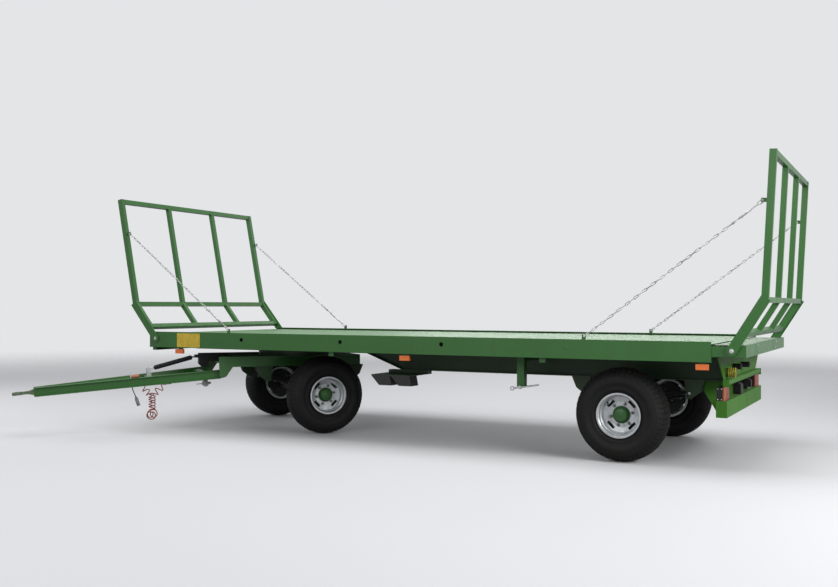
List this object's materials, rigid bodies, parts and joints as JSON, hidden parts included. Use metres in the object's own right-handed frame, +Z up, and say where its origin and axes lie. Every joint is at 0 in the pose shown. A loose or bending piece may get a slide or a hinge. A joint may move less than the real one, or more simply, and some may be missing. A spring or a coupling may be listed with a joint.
{
  "type": "flat bale trailer",
  "caption": "Low-sided flat farm trailer with a turntable front axle, an A-shaped drawbar and a tubular bale rack at each end, held by chains.",
  "frame": {"origin": "middle of the deck's top face", "axes": "+X towards the drawbar end of the deck, +Y to the left side, +Z up; the front axle is steered to the left at rest"},
  "size_m": [7.7616, 3.8112, 2.7709],
  "materials": {
    "green_paint": "satin paint",
    "deck_paint": "satin paint, lightly worn",
    "black_paint": "satin",
    "forged_steel": "painted, worn bright in the bore",
    "zinc": "zinc plated",
    "rim_silver": "silver paint",
    "tyre": "matt rubber",
    "black_plastic": "matt",
    "grey_casting": "bare grey casting",
    "yellow_plastic": "matt cap",
    "lamp_red": "gloss lens",
    "amber": "gloss lens",
    "red_hose": "gloss"
  },
  "bodies": {
    "chassis": {"deck_plate": "deck_paint", "cross_members": "green_paint", "front_beam": "green_paint", "side_rail_left": "green_paint", "side_rail_right": "green_paint", "main_beams": "green_paint", "turntable_upper_ring": "green_paint", "rear_axle": "black_paint", "rear_springs": "black_paint", "rear_spring_hangers": "green_paint", "rear_extension": "green_paint", "extension_guides": "green_paint", "front_rack_pins": "zinc", "rear_frame": "green_paint", "tail_lamps": "lamp_red", "side_markers": "amber", "parking_brake_column": "green_paint", "air_tank": "black_paint", "chock_holder": "green_paint", "wheel_chocks": "black_plastic", "front_chains": "zinc", "rear_chains": "zinc", "lamp_housings": "black_plastic", "rear_fittings": "black_plastic", "rear_coupling_cap": "yellow_plastic", "crank_handle": "zinc"},
    "turntable": {"turntable_lower_ring": "green_paint", "turntable_carriage": "green_paint", "carriage_nose": "black_paint", "front_axle": "black_paint", "front_springs": "black_paint", "front_spring_hangers": "green_paint"},
    "drawbar": {"drawbar_frame": "green_paint", "drawbar_eye": "forged_steel", "spring_bracket": "zinc", "air_hose_coil": "red_hose", "brake_valve": "grey_casting", "hose_holder": "zinc", "supply_coupling": "red_hose", "lamp_cable": "black_plastic", "lamp_plug": "grey_casting"},
    "balance_spring": {"spring_upper_hook": "zinc", "drawbar_spring": "black_paint"},
    "balance_spring_hook": {"spring_lower_hook": "zinc"},
    "front_bale_rack": {"front_rack": "green_paint"},
    "rear_bale_rack": {"rear_rack": "green_paint"},
    "wheel_front_left": {"tyre_front_left": "tyre", "rim_front_left": "rim_silver", "hub_front_left": "green_paint"},
    "wheel_front_right": {"tyre_front_right": "tyre", "rim_front_right": "rim_silver", "hub_front_right": "green_paint"},
    "wheel_rear_left": {"tyre_rear_left": "tyre", "rim_rear_left": "rim_silver", "hub_rear_left": "green_paint"},
    "wheel_rear_right": {"tyre_rear_right": "tyre", "rim_rear_right": "rim_silver", "hub_rear_right": "green_paint"}
  },
  "joints": [
    {"name": "steering", "type": "hinge", "parent": "chassis", "child": "turntable", "pos_m": [1.945, 0, -0.25], "axis": [0, 0, 1], "range_deg": [-141, 39]},
    {"name": "drawbar_pitch", "type": "hinge", "parent": "turntable", "child": "drawbar", "pos_m": [2.5932, 0.80046, -0.455], "axis": [-0.7771, 0.6293, 0], "range_deg": [-12, 11]},
    {"name": "spring_swing", "type": "hinge", "parent": "turntable", "child": "balance_spring", "pos_m": [2.74046, 0.98231, -0.266], "axis": [-0.7771, 0.6293, 0], "range_deg": [-16, 14.6]},
    {"name": "spring_stretch", "type": "slide", "parent": "balance_spring", "child": "balance_spring_hook", "axis": [0.6085, 0.7514, -0.2551], "range_m": [-0.05, 0.046], "deforming": ["drawbar_spring"]},
    {"name": "front_rack_fold", "type": "hinge", "parent": "chassis", "child": "front_bale_rack", "pos_m": [3.11, 0, -0.055], "axis": [0, -1, 0], "range_deg": [0, 85], "deforming": ["front_chains"]},
    {"name": "rear_rack_fold", "type": "hinge", "parent": "chassis", "child": "rear_bale_rack", "pos_m": [-3.378, 0, -0.055], "axis": [0, 1, 0], "range_deg": [0, 75], "deforming": ["rear_chains"]},
    {"name": "wheel_front_left_spin", "type": "hinge", "parent": "turntable", "child": "wheel_front_left", "pos_m": [1.18184, 0.61799, -0.675], "axis": [-0.7771, 0.6293, 0], "continuous": true},
    {"name": "wheel_front_right_spin", "type": "hinge", "parent": "turntable", "child": "wheel_front_right", "pos_m": [2.70816, -0.61799, -0.675], "axis": [-0.7771, 0.6293, 0], "continuous": true},
    {"name": "wheel_rear_left_spin", "type": "hinge", "parent": "chassis", "child": "wheel_rear_left", "pos_m": [-2.35, 0.982, -0.675], "axis": [0, 1, 0], "continuous": true},
    {"name": "wheel_rear_right_spin", "type": "hinge", "parent": "chassis", "child": "wheel_rear_right", "pos_m": [-2.35, -0.982, -0.675], "axis": [0, 1, 0], "continuous": true}
  ],
  "couplings": [
    {"joint": "spring_swing", "follows": "drawbar_pitch", "ratio": 1.317},
    {"joint": "spring_stretch", "follows": "drawbar_pitch", "m_per_rad": 0.2353}
  ]
}
